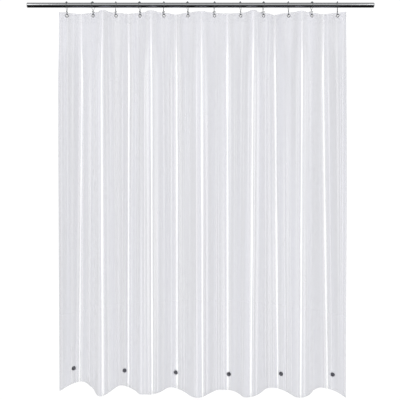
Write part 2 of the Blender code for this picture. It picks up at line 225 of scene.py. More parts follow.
class FilmSizes(bpy.types.PropertyGroup):
    """Cut size of the film and the way its waves, creases and wrinkles stand."""

    width: length("Cut width", "Width of the film before it is gathered", 1.829)
    height: length("Cut height", "Height of the film", 1.829)
    thickness: length("Thickness", "Thickness of the film", 0.0003, 5)
    side_inset: length("Side inset", "Flat distance from a side edge to the first grommet", 0.051)
    header_height: length("Header height", "Height of the stiffer band at the top", 0.050)
    straight: length("Straight at hooks", "Half length of the flat stretch at a grommet", 0.010)
    heading: FloatProperty(
        name="Angle at hooks", description="Angle of the film to the rod where it hangs",
        default=math.radians(22), subtype="ANGLE",
    )
    side_tuck: length("Side tuck", "How far the side edges are drawn in along the rod", 0.005, 4)
    settles_below: length(
        "Waves settle below", "Distance under the top edge where waves are free", 0.36,
    )
    set_back: length("Hem set back", "How far back the hem's left end hangs", 0.060)
    set_back_reach: length(
        "Set back reach", "Flat distance over which the hem comes forward", 0.75,
    )
    top_gain: fold_values(
        "Fold depth at the top", "Depth of each fold against an even wave",
        (0.04, 0.50, 1.10, 0.45, 0.95, 0.72, 0.76, 0.33, 1.06, 0.85, 0.75, 0.64, 0.73),
    )
    hem_gain: fold_values(
        "Fold depth at the hem", "Depth of each fold against an even wave",
        (1.50, 1.25, 1.62, 0.90, 0.63, 1.04, 1.22, 0.60, 0.98, 0.98, 0.98, 1.04, 1.50),
    )
    hem_drift: fold_values(
        "Hem drift", "How far edges and folds stray along the rod at the hem", (
            -0.008, -0.030, -0.001, -0.007, 0.003, 0.004, 0.005,
            0.002, -0.011, 0.014, -0.009, 0.022, -0.006,
        ), "LENGTH",
    )
    hem_slip: fold_values(
        "Hem slip", "How far along the film the waves slip at the hem", (
            0.0, 0.014, -0.014, -0.040, -0.041, -0.033, -0.024,
            -0.030, -0.017, -0.030, 0.0, -0.030, 0.0,
        ), "LENGTH",
    )
    crease_height: length(
        "Crease height", "How far a packing crease stands out of the film", 0.0011, 5,
    )
    crease_width: length("Crease width", "Half width of a packing crease", 0.0040, 4)
    ripple: length("Ripple", "Height of the soft upright ripples between folds", 0.0022, 4)
    crinkle: length("Crinkle", "Height of the crinkles in the header", 0.0004, 4)


class FilmColours(bpy.types.PropertyGroup):
    """Finish of the clear film."""

    tint: colour("Tint", "Colour of the film itself", (0.455, 0.455, 0.525))
    # Colour of the crease lines and streaks: whitened film in part, painted highlight and painted
    # sheen in part
    crease_and_sheen_white: colour(
        "Crease white", "Colour of film whitened where it was folded", (1.0, 1.0, 1.0),
    )
    cover: FloatProperty(
        name="Cover", description="How much one wall of the film hides what is behind it",
        default=0.30, min=0, max=1, subtype="FACTOR",
    )
    roughness: FloatProperty(
        name="Roughness", description="Roughness of the film's gloss",
        default=0.24, min=0, max=1, subtype="FACTOR",
    )


class HardwareSizes(bpy.types.PropertyGroup):
    """Sizes and colours of rod, hooks, grommets and magnets."""

    wire: length("Wire diameter", "Diameter of the hooks' wire", 0.0020, 4)
    ball: length("Ball diameter", "Diameter of a roller ball", 0.0060, 4)
    balls: IntProperty(
        name="Balls", description="Roller balls on one hook", default=5, min=1, max=9,
    )
    roller_gap: length("Roller gap", "Clearance of the top ball over the rod", 0.0001, 5)
    loop_slack: length(
        "Loop slack", "How far the loop's centre lies under the rod's axis", 0.0012, 4,
    )
    crossing_drop: length("Crossing", "Depth under the rod's axis where the strands cross", 0.027)
    tip_drop: length("Tip", "Depth under the rod's axis of the ball tips", 0.032)
    u_drop: length("U drop", "Depth under the rod's axis of the U bends", 0.0482)
    u_radius: length("U radius", "Radius of the U bends", 0.0053, 4)
    tip: length("Tip diameter", "Diameter of the balls on the wire's ends", 0.0050, 4)
    yaw: FloatProperty(
        name="Yaw", description="Turn of the hooks, to one side and the other in turn",
        default=math.radians(16), subtype="ANGLE",
    )
    rod_chrome: colour("Rod chrome", "Colour of the rod's plating", (0.60, 0.61, 0.62))
    hook_chrome: colour("Hook chrome", "Colour of the hooks' plating", (0.36, 0.37, 0.37))
    grommet_steel: colour("Grommet metal", "Colour of the grommets' plating", (0.32, 0.32, 0.33))
    ferrite: colour("Magnet", "Colour of the magnets", (0.022, 0.022, 0.026))


class StageSizes(bpy.types.PropertyGroup):
    """Camera, floor and light."""

    distance: length("Distance", "Camera's distance from the rod", 2.4)
    eye_drop: length("Eye drop", "Camera's height under the rod's axis", 0.6496)
    frame_width: length("Frame width", "Width that the picture takes in at the rod", 1.9268)
    shift: FloatProperty(
        name="Shift", description="Upward shift of the lens", default=-0.15,
    )
    floor_drop: length("Floor gap", "Gap between the hem and the floor", 0.10)


SETTINGS = (
    ("film", FilmSizes),
    ("film_finish", FilmColours),
    ("hardware", HardwareSizes),
    ("stage", StageSizes),
)


def settings(name):
    return getattr(bpy.context.scene, f"curtain_{name}")


# ---------------------------------------------------------------- helpers

def mesh_object(name, work, sharp=None):
    """Turns a bmesh into an object at the origin, smooth but for edges past sharp degrees."""
    mesh = bpy.data.meshes.new(name)
    work.to_mesh(mesh)
    work.free()
    mesh.shade_smooth()
    if sharp:
        mesh.set_sharp_from_angle(angle=math.radians(sharp))
    thing = bpy.data.objects.new(name, mesh)
    bpy.context.scene.collection.objects.link(thing)
    return thing


def turned(profile, steps, closed):
    """Surface turned about Z from (radius, z) points."""
    work = bmesh.new()
    points = [work.verts.new((radius, 0.0, z)) for radius, z in profile]
    ends = points[1:] + (points[:1] if closed else [])
    edges = [work.edges.new((a, b)) for a, b in zip(points, ends)]
    bmesh.ops.spin(
        work, geom=points + edges, axis=(0, 0, 1), cent=(0, 0, 0),
        angle=2 * math.pi, steps=steps, use_merge=True,
    )
    bmesh.ops.remove_doubles(work, verts=work.verts, dist=1e-7)
    bmesh.ops.recalc_face_normals(work, faces=work.faces)
    return work


def sweep(path, radii, sides):
    """Round bar along a path, made by extruding one ring from point to point."""
    work = bmesh.new()
    along = (path[1] - path[0]).normalized()
    side = along.orthogonal().normalized()
    ring = bmesh.ops.create_circle(work, segments=sides, radius=1.0)["verts"]
    angles = [2 * math.pi * i / sides for i in range(sides)]
    first = list(ring)
    edges = list({e for v in ring for e in v.link_edges})
    for i, (point, radius) in enumerate(zip(path, radii)):
        ahead = path[min(i + 1, len(path) - 1)] - path[max(i - 1, 0)]
        ahead.normalize()
        side = (side - ahead * side.dot(ahead)).normalized()
        other = ahead.cross(side)
        if i:
            made = bmesh.ops.extrude_edge_only(work, edges=edges)["geom"]
            copies = {}
            for part in made:
                if isinstance(part, bmesh.types.BMVert):
                    link = [e.other_vert(part) for e in part.link_edges]
                    copies[next(v for v in link if v in first_set)] = part
            ring = [copies[v] for v in ring]
            edges = [e for e in made if isinstance(e, bmesh.types.BMEdge)
                     and all(v in copies.values() for v in e.verts)]
        first_set = set(ring)
        for vertex, angle in zip(ring, angles):
            vertex.co = point + radius * (side * math.cos(angle) + other * math.sin(angle))
    bmesh.ops.contextual_create(work, geom=first)
    bmesh.ops.contextual_create(work, geom=ring)
    bmesh.ops.recalc_face_normals(work, faces=work.faces)
    return work


def arc(steps, end=math.pi):
    """Evenly spaced angles from 0 to end."""
    return [end * i / steps for i in range(steps + 1)]


def smooth_step(value):
    value = np.clip(value, 0.0, 1.0)
    return value * value * (3 - 2 * value)


def soft_noise(across, down, seed):
    """Soft noise from -1 to 1 on a lattice of one unit."""
    table = np.random.default_rng(seed).uniform(-1, 1, (NOISE_CELLS, NOISE_CELLS))
    column, row = np.floor(across).astype(int), np.floor(down).astype(int)
    a, b = smooth_step(across - column), smooth_step(down - row)

    def corner(i, j):
        return table[(column + i) % NOISE_CELLS, (row + j) % NOISE_CELLS]

    near = corner(0, 0) * (1 - a) + corner(1, 0) * a
    far = corner(0, 1) * (1 - a) + corner(1, 1) * a
    return near * (1 - b) + far * b


# ------------------------------------------------------------- film waves

def hook_pitch_flat():
    film = settings("film")
    return (film.width - 2 * film.side_inset) / (HOOKS - 1)


def hook_side(index):
    """+1 where the film goes from near to far at the hook, -1 where it comes back."""
    return 1 if index % 2 == 0 else -1


def panel_line(pitch, at_hook):
    """Flat distance, run and depth along one panel whose flat length spans the pitch."""
    film = settings("film")
    flat = hook_pitch_flat()
    step = flat / LINE_POINTS
    middle = (np.arange(LINE_POINTS) + 0.5) * step
    share = np.clip((middle - film.straight) / (flat - 2 * film.straight), 0, 1)
    low, high = 0.0, STEEPEST_TERM
    for _ in range(FIT_ROUNDS):
        first = (low + high) / 2
        third = 0.0 if at_hook is None else at_hook - first
        heading = first * np.cos(math.pi * share) + third * np.cos(3 * math.pi * share)
        if np.cos(heading).sum() * step > pitch:
            low = first
        else:
            high = first
    run = np.concatenate([[0.0], np.cumsum(np.cos(heading)) * step])
    depth = np.concatenate([[0.0], np.cumsum(np.sin(heading)) * step])
    return np.linspace(0.0, flat, LINE_POINTS + 1), run, depth


def film_line(at_hook, gains):
    """The film seen from above as arrays of flat distance, x and y."""
    film = settings("film")
    pitch, last = hook_pitch_flat(), HOOKS - 1
    panels = [panel_line(b - a, at_hook) for a, b in zip(HANG_X, HANG_X[1:])]
    stretches = [(0, -1, panels[0], panels[0][0] <= film.side_inset)]
    stretches += [(k, 1, panel, panel[0] > 0) for k, panel in enumerate(panels)]
    end = (panels[-1][0] > 0) & (panels[-1][0] <= film.side_inset)
    stretches.append((last, 1, panels[-1], end))
    parts = []
    for index, way, (flat, run, depth), kept in stretches:
        flat = film.side_inset + index * pitch + way * flat[kept][::way]
        x = HANG_X[index] + way * run[kept][::way]
        parts.append((flat, x, way * hook_side(index) * depth[kept][::way]))
    flat, x, y = (np.concatenate(part) for part in zip(*parts))
    along = (flat - film.side_inset) / pitch
    gain = np.array(gains)[np.floor(along).astype(int) + 1]
    return flat, x, y * (1 + (gain - 1) * np.sin(math.pi * along) ** 2)


class FilmShape:
    """The hanging film as a map from the flat cut to places in the frame."""

    def __init__(self):
        self.film = film = settings("film")
        self.flat, top_x, top_y = film_line(film.heading, film.top_gain)
        _, hem_x, hem_y = film_line(None, film.hem_gain)
        self.lines = [(top_x, top_y), (hem_x, hem_y)]
        self.top = FILM_HIGH.z
        self.pins = self.grommet_pins() + self.magnet_pins()

    def grommet_pins(self):
        """Places where the film lies flat between the two flanges of a grommet."""
        film = self.film
        height = node_centre("grommet_01").z
        pins = []
        for index, x in enumerate(HANG_X):
            heading = film.heading * hook_side(index)
            normal = Vector((-math.sin(heading), math.cos(heading), 0.0))
            flat = film.side_inset + index * hook_pitch_flat()
            pins.append((flat, height, Vector((x, 0.0, height)), normal, GROMMET_HOLD))
        return pins

    def magnet_pins(self):
        """Places where the film lies flat behind a magnet."""
        pins = []
        for index in range(MAGNETS):
            name = f"magnet_{index + 1}"
            centre, axis = node_centre(name), magnet_axis(name)
            place = centre - axis * MAGNET_SEAT
            flat = self.flat_at(place.x, centre.z)
            pins.append((flat, centre.z, place, axis, MAGNET_HOLD))
        return pins

    def flat_at(self, x, z):
        """Flat distance at which the free film passes an x at a height."""
        drift, _, _ = self.strayed(self.flat, z)
        return float(np.interp(x, self.lines[1][0] + drift, self.flat))

    def strayed(self, flat, z):
        """What the film gains on its way down: drift along the rod, slip and set-back."""
        film = self.film
        folds = [film.side_inset + (k + 0.5) * hook_pitch_flat() for k in range(HOOKS - 1)]
        folds = [0.0, *folds, film.width]
        share = np.minimum(flat / film.set_back_reach, 1.0)
        back = film.set_back * (1 + np.cos(math.pi * share)) / 2
        reach = film.height - film.header_height
        drop = np.maximum(self.top - film.header_height - z, 0.0) / reach
        drift = np.interp(flat, folds, film.hem_drift)
        slip = np.interp(flat, folds, film.hem_slip)
        return drift * drop, slip * drop, back * drop

    def smooth(self, flat, z):
        """The film's wave without creases, ripples and pins."""
        film = self.film
        header = film.header_height
        free = smooth_step((self.top - z - header) / (film.settles_below - header))
        drift, slip, back = self.strayed(flat, z)
        (top_x, top_y), (hem_x, hem_y) = self.lines
        x = np.interp(flat, self.flat, top_x) * (1 - free)
        x += (np.interp(flat, self.flat, hem_x) + drift) * free
        left = np.maximum(1 - flat / film.side_inset, 0)
        right = np.maximum(1 - (film.width - flat) / film.side_inset, 0)
        x += film.side_tuck * (left - right)
        y = np.interp(flat, self.flat, top_y) * (1 - free)
        y += (np.interp(flat - slip, self.flat, hem_y) + back) * free
        return np.stack([x, y, z], -1), free

    def places(self, flat, z, lift=0.0):
        """Points of the film as an array; lift moves them towards the user."""
        points, free = self.smooth(flat, z)
        ahead, _ = self.smooth(flat + SLOPE_STEP, z)
        behind, _ = self.smooth(flat - SLOPE_STEP, z)
        run = ahead - behind
        length = np.maximum(np.hypot(run[:, 0], run[:, 1]), 1e-9)
        normal = np.stack([-run[:, 1] / length, run[:, 0] / length, np.zeros_like(z)], -1)
        points += normal * self.relief(flat, z, free)[:, None]
        points[:, 2] += self.edge_wave(flat, self.top - z)
        for pin_flat, pin_z, place, axis, (inner, outer) in self.pins:
            reach = np.hypot(flat - pin_flat, z - pin_z)
            hold = 1 - smooth_step((reach - inner) / (outer - inner))
            held = hold > 0
            if held.any():
                away = (points[held] - np.array(place)) @ np.array(axis)
                points[held] -= (hold[held] * away)[:, None] * np.array(axis)
        return points - normal * np.reshape(lift, (-1, 1))

    def relief(self, flat, z, free):
        """Creases, ripples and crinkles that stand out of the smooth wave."""
        film = self.film
        below = self.top - z
        pitch = hook_pitch_flat()
        panel = (flat - film.side_inset) / pitch
        index = np.clip(np.floor(panel), 0, HOOKS - 2)
        from_crease = np.abs(panel - index - 0.5) * pitch
        side = np.where(index % 2 == 0, 1.0, -1.0)
        grown = smooth_step(below / CREASE_GROWS)
        crease = side * film.crease_height * np.exp(-from_crease / film.crease_width) * grown
        broad = soft_noise(flat / BROAD_RIPPLE[0], z / BROAD_RIPPLE[1] + 7, 3)
        narrow = soft_noise(flat / NARROW_RIPPLE[0], z / NARROW_RIPPLE[1] + 3, 5)
        strength = RIPPLE_AT_TOP + (1 - RIPPLE_AT_TOP) * free
        ripples = film.ripple * (broad + NARROW_SHARE * narrow) * strength
        slant = soft_noise((flat + 0.6 * z) / 0.016, (z - 0.4 * flat) / 0.034, 11)
        other = soft_noise((flat - 0.7 * z) / 0.023, z / 0.05, 13)
        crinkles = film.crinkle * (slant + 0.8 * other) * np.exp(-below / CRINKLE_FADES)
        return crease + ripples + crinkles

    def edge_wave(self, flat, below):
        """Small ups and downs of the cut top edge."""
        wave = soft_noise(flat / EDGE_WAVE_CELL, np.zeros_like(flat), 17)
        return EDGE_WAVE * wave * np.exp(-below / EDGE_WAVE_FADES)


def disc_axis(name):
    """Axis of a flat disc node, pointing towards the user."""
    sums = {}
    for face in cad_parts[name].data.polygons:
        key = tuple(round(c, 2) for c in face.normal)
        sums[key] = sums.get(key, 0.0) + face.area
    axis = Vector(max(sums, key=sums.get)).normalized()
    return axis if axis.y < 0 else -axis


def magnet_axis(name):
    """Axis of a hem magnet, which turns the film round it a little towards the user."""
    return disc_axis(name).lerp(Vector((0.0, -1.0, 0.0)), MAGNET_FACING).normalized()


def spaced(start, end, step):
    count = max(1, round((end - start) / step))
    return list(np.linspace(start, end, count + 1)[:-1])


def film_columns():
    """Flat distances of the mesh's columns, close together at the grommets."""
    film = settings("film")
    columns = []
    edge = 0.0
    for index in range(HOOKS):
        hook = film.side_inset + index * hook_pitch_flat()
        columns += spaced(edge, hook - FINE_HALF, COARSE_STEP)
        columns += spaced(hook - FINE_HALF, hook + FINE_HALF, FINE_STEP)
        edge = hook + FINE_HALF
    return np.array(columns + spaced(edge, film.width, COARSE_STEP) + [film.width])


def film_rows(bottom):
    """Heights of the mesh's rows from the top edge down, close together in the header."""
    top = FILM_HIGH.z
    rows = spaced(0.0, FINE_HEADER, FINE_STEP)
    for start, end, step in ROW_BANDS:
        rows += spaced(start, end, step)
    rows += spaced(ROW_BANDS[-1][1], settings("film").height, ROW_STEP)
    rows.append(settings("film").height)
    rows = [r for r in rows if r < bottom - FINE_STEP / 2] + [bottom]
    return top - np.array(rows)


def sheet_object(name, shape, columns, rows, lift):
    """Sheet through the film's places, with grommet holes and its flat cut as UV map."""
    film = settings("film")
    work = bmesh.new()
    bmesh.ops.create_grid(
        work, x_segments=len(columns) - 1, y_segments=len(rows) - 1, size=1.0
    )
    across = np.array([v.co.x for v in work.verts])
    down = np.array([v.co.y for v in work.verts])
    column = np.rint((across + 1) / 2 * (len(columns) - 1)).astype(int)
    row = np.rint((1 - down) / 2 * (len(rows) - 1)).astype(int)
    flat, z = columns[column], rows[row]
    points = shape.places(flat, z, lift)
    layer = work.loops.layers.uv.new("flat")
    share = np.stack([flat / film.width, (z - FILM_LOW.z) / film.height], -1)
    for vertex, point, uv in zip(work.verts, points, share):
        vertex.co = point
        for loop in vertex.link_loops:
            loop[layer].uv = uv
    punched = np.zeros(len(flat), bool)
    for hole_flat, hole_z, *_ in shape.grommet_pins():
        punched |= np.hypot(flat - hole_flat, z - hole_z) < HOLE_RADIUS
    doomed = {face for vertex, gone in zip(work.verts, punched) if gone
              for face in vertex.link_faces}
    bmesh.ops.delete(work, geom=list(doomed), context="FACES")
    bmesh.ops.recalc_face_normals(work, faces=work.faces)
    thing = mesh_object(name, work)
    wall = thing.modifiers.new("wall", "SOLIDIFY")
    wall.thickness = film.thickness
    wall.offset = 0.0
    return thing


# -------------------------------------------------------------- materials

class NodeTree:
    """Short calls for the nodes that a material or the world is made of."""

    def __init__(self, owner):
        self.owner = owner
        owner.use_nodes = True
        self.tree = owner.node_tree
        self.shader = self.tree.nodes.get("Principled BSDF")

    def node(self, kind, **values):
        made = self.tree.nodes.new(kind)
        for name, value in values.items():
            setattr(made, name, value)
        return made

    def link(self, out, into):
        self.tree.links.new(out, into)

    def math(self, operation, a, b=None, clamp=False):
        made = self.node("ShaderNodeMath", operation=operation, use_clamp=clamp)
        for socket, value in zip(made.inputs, (a, b)):
            if value is None:
                continue
            if isinstance(value, (int, float)):
                socket.default_value = value
            else:
                self.link(value, socket)
        return made.outputs[0]

    def ramp(self, value, low, high, to_low=0.0, to_high=1.0):
        made = self.node("ShaderNodeMapRange", interpolation_type="SMOOTHSTEP")
        self.link(value, made.inputs["Value"])
        for name, number in (("From Min", low), ("From Max", high),
                             ("To Min", to_low), ("To Max", to_high)):
            made.inputs[name].default_value = number
        return made.outputs["Result"]

    def stretched(self, source, scale):
        made = self.node("ShaderNodeMapping")
        self.link(source, made.inputs["Vector"])
        made.inputs["Scale"].default_value = scale
        return made.outputs["Vector"]

    def noise(self, vector, scale, detail=2.0, rough=0.5):
        made = self.node("ShaderNodeTexNoise")
        self.link(vector, made.inputs["Vector"])
        made.inputs["Scale"].default_value = scale
        made.inputs["Detail"].default_value = detail
        made.inputs["Roughness"].default_value = rough
        return made.outputs["Fac"]

    def mix(self, share, a, b):
        made = self.node("ShaderNodeMix", data_type="RGBA")
        sockets = [s for s in made.inputs if s.type == "RGBA"]
        self.link(share, made.inputs[0])
        for socket, colour in zip(sockets, (a, b)):
            if isinstance(colour, bpy.types.NodeSocket):
                self.link(colour, socket)
            else:
                socket.default_value = (*colour, 1.0)
        return next(s for s in made.outputs if s.type == "RGBA")

    def bump(self, height, distance, strength=1.0):
        made = self.node("ShaderNodeBump")
        made.inputs["Distance"].default_value = distance
        made.inputs["Strength"].default_value = strength
        self.link(height, made.inputs["Height"])
        self.link(made.outputs["Normal"], self.shader.inputs["Normal"])

    def object_place(self):
        return self.node("ShaderNodeTexCoord").outputs["Object"]

    def put(self, name, value):
        socket = self.shader.inputs[name]
        if isinstance(value, bpy.types.NodeSocket):
            self.link(value, socket)
        elif isinstance(value, (int, float)):
            socket.default_value = value
        else:
            socket.default_value = (*value, 1.0)


def material_nodes(name):
    return NodeTree(bpy.data.materials.new(name))


def crease_white_and_highlight(nodes, uv, across, up):
    """White lines down the middle of each panel, wider on the folds at the back: whitened packing
    creases in part and painted highlight in part.
    """
    film, pitch = settings("film"), hook_pitch_flat()
    panel = nodes.math("DIVIDE", nodes.math("SUBTRACT", across, film.side_inset), pitch)
    local = nodes.math("ABSOLUTE", nodes.math("SUBTRACT", nodes.math("FRACT", panel), 0.5))
    distance = nodes.math("MULTIPLY", local, pitch)
    uneven = nodes.noise(nodes.stretched(uv, CREASE_CYCLES), 1.0, 3.0, 0.6)
    width = nodes.ramp(uneven, 0.30, 0.70, *CREASE_HALF_WIDTH)
    pair = nodes.math("FRACT", nodes.math("MULTIPLY", panel, 0.5))
    back_fold = nodes.math("MULTIPLY", nodes.math("LESS_THAN", pair, 0.5), BACK_FOLD_EXTRA)
    width = nodes.math("MULTIPLY", width, nodes.math("ADD", back_fold, 1.0))
    line = nodes.ramp(nodes.math("DIVIDE", distance, width), 0.45, 1.05, 1.0, 0.0)
    return nodes.math("MULTIPLY", line, nodes.ramp(up, 0.86, 0.99, 1.0, 0.35))


def painted_sheen_streaks(nodes, uv, up):
    """Painted sheen: fine upright light streaks that stand in for gloss off the waves, thinner
    between some folds and towards the top.
    """
    thin = nodes.noise(nodes.stretched(uv, STREAK_CYCLES), 1.0, 1.0, 0.5)
    patchy = nodes.noise(nodes.stretched(uv, STREAK_PATCH_CYCLES), 1.0, 1.0, 0.5)
    patches = nodes.ramp(patchy, 0.30, 0.58, 0.25, 1.0)
    streaks = nodes.math("MULTIPLY", nodes.ramp(thin, 0.47, 0.62), patches)
    return nodes.math("MULTIPLY", streaks, nodes.ramp(up, 0.74, 0.97, 1.0, 0.3))


def film_material(name, cover_share, marks):
    """Clear vinyl: faint upright streaks of painted sheen, soft upright bands of painted shade and
    light, packing creases that are whitened in part and painted highlight in part, a painted glow
    on both marks, satin gloss.
    """
    film, finish = settings("film"), settings("film_finish")
    nodes = material_nodes(name)
    uv = nodes.node("ShaderNodeUVMap", uv_map="flat").outputs["UV"]
    parts = nodes.node("ShaderNodeSeparateXYZ")
    nodes.link(uv, parts.inputs[0])
    across, up = nodes.math("MULTIPLY", parts.outputs["X"], film.width), parts.outputs["Y"]
    # Painted highlight and sheen: the crease lines, partly whitened film and partly painted
    # highlight, and the painted sheen streaks
    streaks = nodes.math("MULTIPLY", painted_sheen_streaks(nodes, uv, up), STREAK_SHEEN)
    white = nodes.math("MAXIMUM", crease_white_and_highlight(nodes, uv, across, up), streaks)
    white = nodes.math("MULTIPLY", white, marks)
    # Painted shade and light: the tint darker and lighter in soft upright bands
    broad = nodes.noise(nodes.stretched(uv, SHADE_CYCLES), 1.0, 2.0, 0.5)
    dull, bright = ([c * share for c in finish.tint] for share in SHADE)
    tint = nodes.mix(nodes.ramp(broad, 0.34, 0.66), dull, bright)
    nodes.put("Base Color", nodes.mix(white, tint, finish.crease_and_sheen_white))
    wall = finish.cover * cover_share
    cover = nodes.ramp(broad, 0.3, 0.7, wall * 0.95, wall * 1.05)
    nodes.put("Alpha", nodes.math("MAXIMUM", cover, nodes.math("MULTIPLY", white, MARK_COVER)))
    haze = nodes.noise(nodes.stretched(uv, HAZE_CYCLES), 1.0, 2.0, 0.5)
    rough = finish.roughness
    nodes.put("Roughness", nodes.ramp(haze, 0.3, 0.7, rough - 0.04, rough + 0.05))
    # Painted glow: the crease lines and streaks give off light of their own so that they stay white
    # in shade
    nodes.put("Emission Color", nodes.mix(white, (0.0, 0.0, 0.0), (1.0, 1.0, 1.0)))
    nodes.put("Emission Strength", PAINTED_GLOW)
    nodes.put("IOR", 1.50)
    nodes.bump(nodes.noise(nodes.stretched(uv, GRAIN_CYCLES), 1.0, 2.0, 0.5), 0.00004)
    return nodes.owner


def chrome_material(name, colour, roughness, brushed):
    """Plated metal: fine lines of polish and a breath of haze."""
    nodes = material_nodes(name)
    place = nodes.object_place()
    haze = nodes.noise(nodes.stretched(place, (60.0, 90.0, 90.0)), 1.0, 3.0, 0.6)
    nodes.put("Base Color", nodes.mix(haze, [c * 0.94 for c in colour], [c * 1.05 for c in colour]))
    nodes.put("Metallic", 1.0)
    nodes.put("Roughness", nodes.ramp(haze, 0.3, 0.7, roughness * 0.8, roughness * 1.3))
    lines = nodes.noise(nodes.stretched(place, brushed), 1.0, 2.0, 0.5)
    nodes.bump(lines, 0.00002)
    return nodes.owner


def ferrite_material():
    """Pressed dark magnet: fine grain and small pale scuffs."""
    nodes = material_nodes("pressed_ferrite")
    place = nodes.object_place()
    grain = nodes.noise(place, 2600.0, 3.0, 0.7)
    scuff = nodes.ramp(nodes.noise(place, 420.0, 4.0, 0.7), 0.60, 0.74)
    dark = settings("hardware").ferrite
    base = nodes.mix(grain, [c * 0.7 for c in dark], [c * 1.6 for c in dark])
    nodes.put("Base Color", nodes.mix(scuff, base, [c * 3.0 for c in dark]))
    nodes.put("Roughness", nodes.ramp(grain, 0.2, 0.8, 0.42, 0.60))
    nodes.bump(grain, 0.00005)
    return nodes.owner


def plug_material():
    """Moulded grey plastic with a fine spark-eroded grain."""
    nodes = material_nodes("moulded_plug")
    place = nodes.object_place()
    grain = nodes.noise(place, 1800.0, 2.0, 0.6)
    nodes.put("Base Color", nodes.mix(grain, (0.42, 0.42, 0.43), (0.50, 0.50, 0.51)))
    nodes.put("Roughness", nodes.ramp(grain, 0.3, 0.7, 0.38, 0.52))
    nodes.bump(grain, 0.00006)
    return nodes.owner


def finish_piece(thing, material, body, slot, *nodes):
    thing.data.materials.append(material)
    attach(thing, body)
    if nodes:
        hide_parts(*nodes)


# -------------------------------------------------------------- operators

class CURTAIN_OT_rod(bpy.types.Operator):
    """Polished rod with its two end plugs"""

    bl_idname = "curtain.rod"
    bl_label = "Rod"

    def execute(self, context):
        radius, half, soft = ROD_RADIUS, ROD_HIGH.x, ROD_EDGE
        bore = radius - ROD_WALL
        profile = [(bore, -half), (radius - soft, -half), (radius, -half + soft)]
        profile += [(radius, half - soft), (radius - soft, half), (bore, half)]
        work = turned(profile, 128, True)
        work.transform(Matrix.Rotation(math.pi / 2, 4, "Y"))
        thing = mesh_object("rod_polished", work, 30)
        chrome = chrome_material(
            "rod_chrome", settings("hardware").rod_chrome, 0.11, (3.0, 2600.0, 2600.0)
        )
        finish_piece(thing, chrome, "rod", "rod_chrome", "rod_tube")
        plastic = plug_material()
        for name, side in (("rod_plug_left", -1), ("rod_plug_right", 1)):
            low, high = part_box(name)
            plug = self.plug(name, side, radius, bore, max(abs(low.x), abs(high.x)))
            finish_piece(plug, plastic, "rod", "plug", name)
        return {"FINISHED"}

    def plug(self, name, side, radius, bore, outer):
        """Plug whose flange closes the rod's end and whose shank sits in its bore."""
        soft, shank, seat = PLUG_EDGE, bore - PLUG_FIT, outer - PLUG_FLANGE
        inner = seat - PLUG_DEPTH
        profile = [(0.0, inner), (shank - soft, inner), (shank, inner + soft), (shank, seat)]
        profile += [(radius - soft / 2, seat), (radius, seat + soft / 2), (radius, outer - soft)]
        profile += [(radius - soft * 0.3, outer - soft * 0.3), (radius - soft, outer)]
        profile += [(0.0, outer)]
        work = turned(profile, 96, False)
        work.transform(Matrix.Rotation(side * math.pi / 2, 4, "Y"))
        thing = mesh_object(f"{name}_moulded", work, 35)
        return thing


class HookPath:
    """Centre line of one hook's wire, in the hook's own frame."""

    def __init__(self):
        self.made = made = settings("hardware")
        self.strand = made.wire / 2 + STRAND_GAP
        self.radius = ROD_RADIUS + made.ball / 2 + made.roller_gap + made.loop_slack
        self.end = math.pi / 2 + math.asin(self.radius / (made.crossing_drop - made.loop_slack))
        self.u_centre = made.u_radius + self.strand

    def loop(self, angle):
        made = self.made
        return Vector((
            self.strand * angle / self.end,
            self.radius * math.sin(angle),
            self.radius * math.cos(angle) - made.loop_slack,
        ))

    def half(self):
        """From the loop's top over the far side to the near U and its tip."""
        made = self.made
        points = [self.loop(angle) for angle in arc(LOOP_STEPS, self.end)]
        inner = self.u_centre - made.u_radius
        points.append(Vector((self.strand, 0.0, -made.crossing_drop)))
        points.append(Vector((self.strand, -inner, -made.tip_drop)))
        bend = made.u_drop - made.u_radius
        for turn in arc(BEND_STEPS):
            y = -self.u_centre + made.u_radius * math.cos(turn)
            points.append(Vector((self.strand, y, -bend - made.u_radius * math.sin(turn))))
        points.append(Vector((
            self.strand, -self.u_centre - made.u_radius, -made.tip_drop + made.tip / 2
        )))
        return points

    def wire(self):
        """Evenly spaced, softened points of the whole wire and the bar's radii."""
        made = self.made
        half = self.half()
        corners = [Vector((-p.x, -p.y, p.z)) for p in reversed(half[1:])] + half
        corners = np.array(corners)
        along = np.concatenate(
            [[0.0], np.cumsum(np.linalg.norm(np.diff(corners, axis=0), axis=1))]
        )
        count = int(along[-1] / WIRE_STEP)
        even = np.linspace(0.0, along[-1], count + 1)
        points = np.stack([np.interp(even, along, corners[:, i]) for i in range(3)], -1)
        for _ in range(WIRE_SOFTENING):
            points[1:-1] = (points[:-2] + 2 * points[1:-1] + points[2:]) / 4
        ball = made.tip / 2
        ends, radii = [], []
        for turn in arc(TIP_STEPS, TIP_END):
            ends.append(ball - ball * math.cos(turn))
            radii.append(max(ball * math.sin(turn), 1e-5))
        body = [(d, made.wire / 2) for d in even if ends[-1] < d < even[-1] - ends[-1]]
        bars = list(zip(ends, radii)) + body
        bars += [(even[-1] - d, r) for d, r in reversed(list(zip(ends, radii)))]
        path = [
            Vector([float(np.interp(d, even, points[:, i])) for i in range(3)]) for d, _ in bars
        ]
        return path, [r for _, r in bars]

    def matrix(self, index):
        """Hook frame to the row frame: hung plumb, turned to its own side."""
        made = self.made
        yaw = made.yaw * hook_side(index) if index else 0.0
        tilt = math.atan2(self.u_centre, made.u_drop)
        x = HANG_X[index] - self.strand * math.cos(yaw)
        turn = Matrix.Rotation(yaw, 4, "Z") @ Matrix.Rotation(tilt, 4, "X")
        return Matrix.Translation((x, 0.0, 0.0)) @ turn


